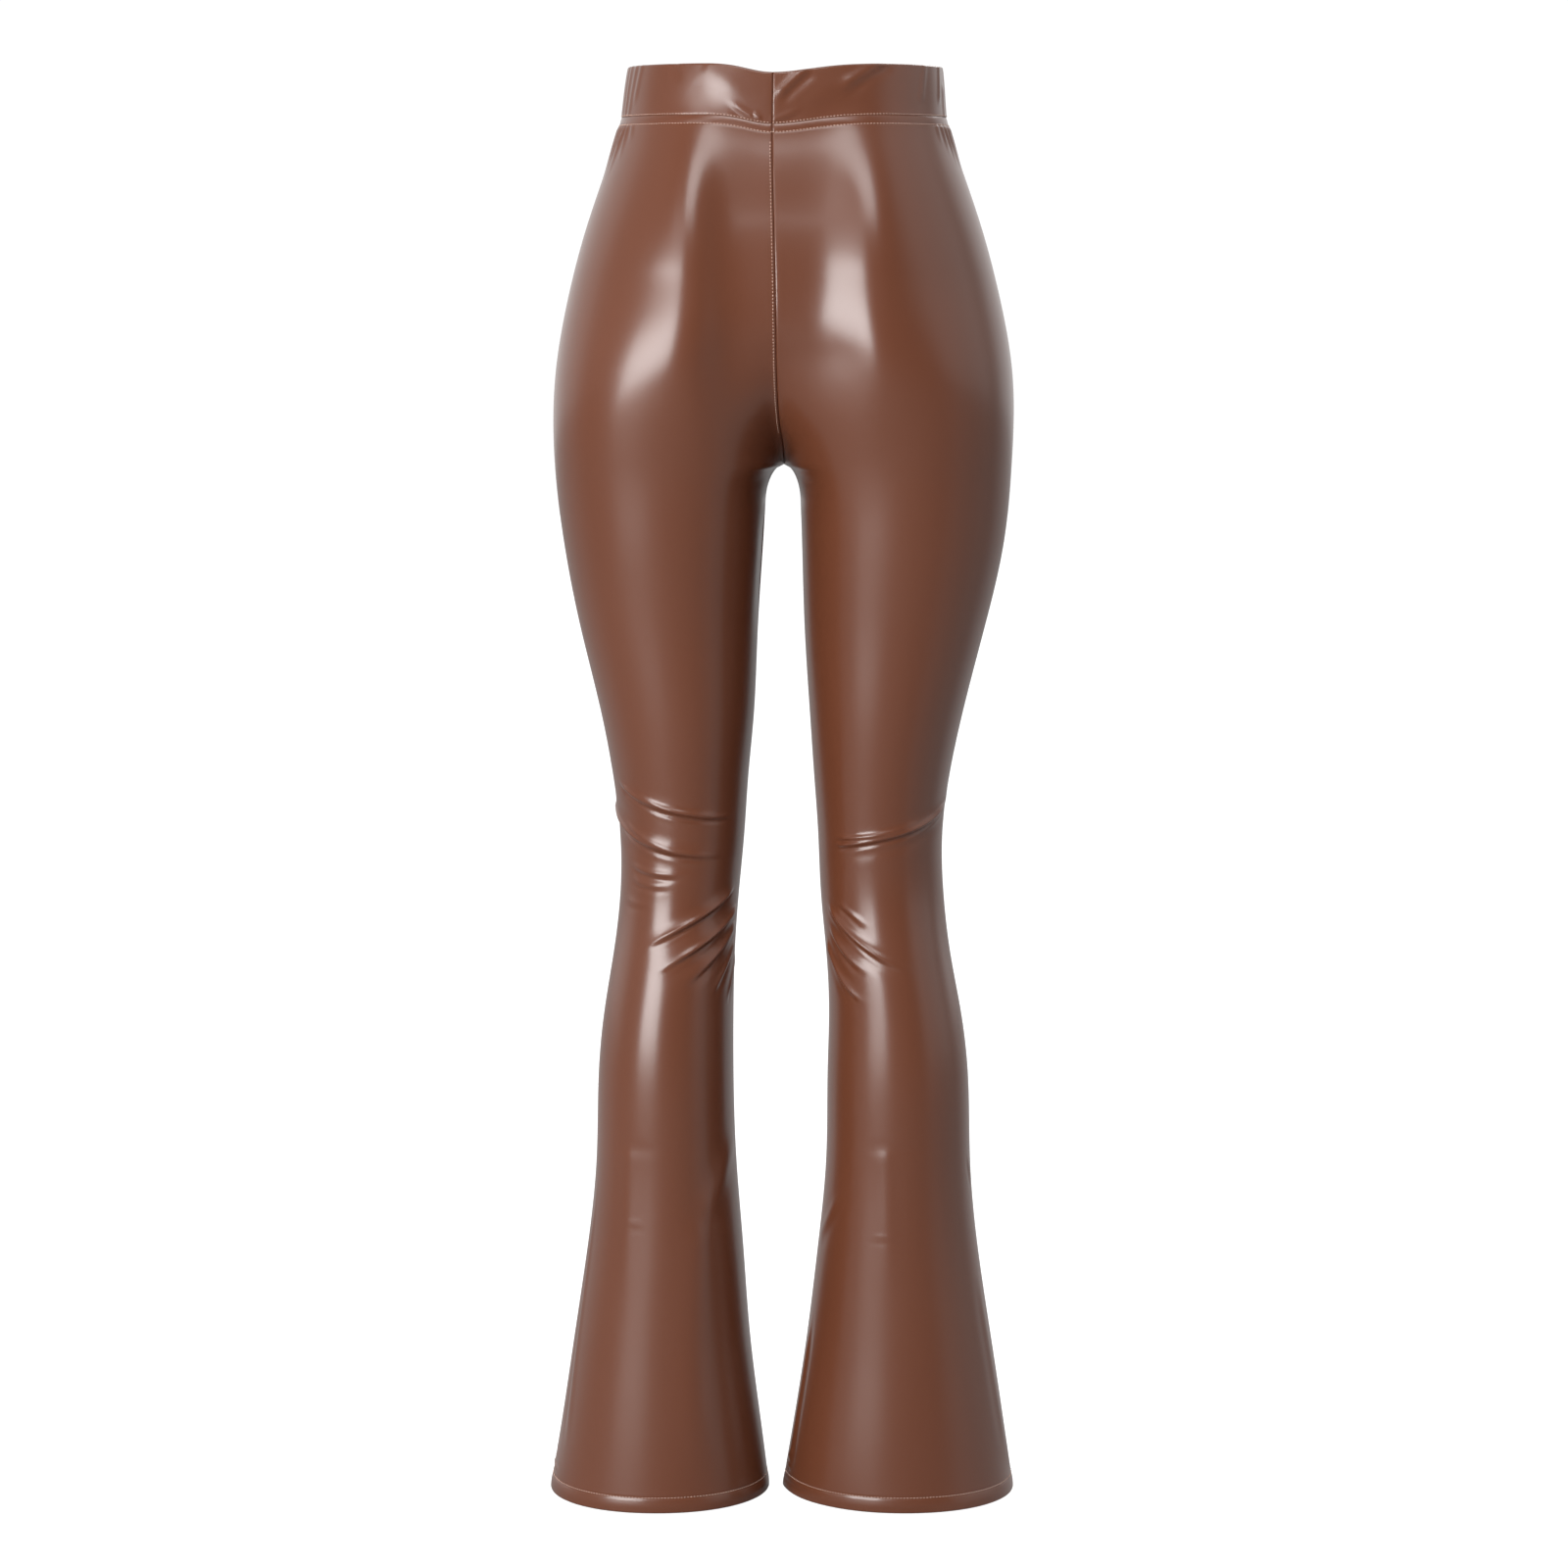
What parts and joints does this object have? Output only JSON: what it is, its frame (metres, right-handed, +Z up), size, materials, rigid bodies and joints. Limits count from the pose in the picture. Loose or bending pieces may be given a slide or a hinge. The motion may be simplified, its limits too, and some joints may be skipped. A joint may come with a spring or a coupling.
{
  "type": "faux leather bootcut trousers",
  "caption": "Pull-on bootcut trousers in glossy brown faux leather, hollow and standing as worn, with an elastic waistband and flared hems.",
  "frame": {"origin": "middle of the waistband's height at the centre of the waist opening, where the wearer's waist holds the trousers", "axes": "+Z up towards the waist, +Y towards the front of the wearer, +X towards the wearer's right; the picture shows the back, which faces -Y"},
  "size_m": [0.3428, 0.2226, 1.042],
  "materials": {
    "faux_leather": "glossy coated stretch cloth, chestnut brown",
    "faux_leather_band": "glossy coated stretch cloth over elastic, chestnut brown"
  },
  "bodies": {
    "root": {"back_left": "faux_leather", "back_right": "faux_leather", "front_left": "faux_leather", "front_right": "faux_leather", "waistband": "faux_leather_band"}
  },
  "joints": []
}
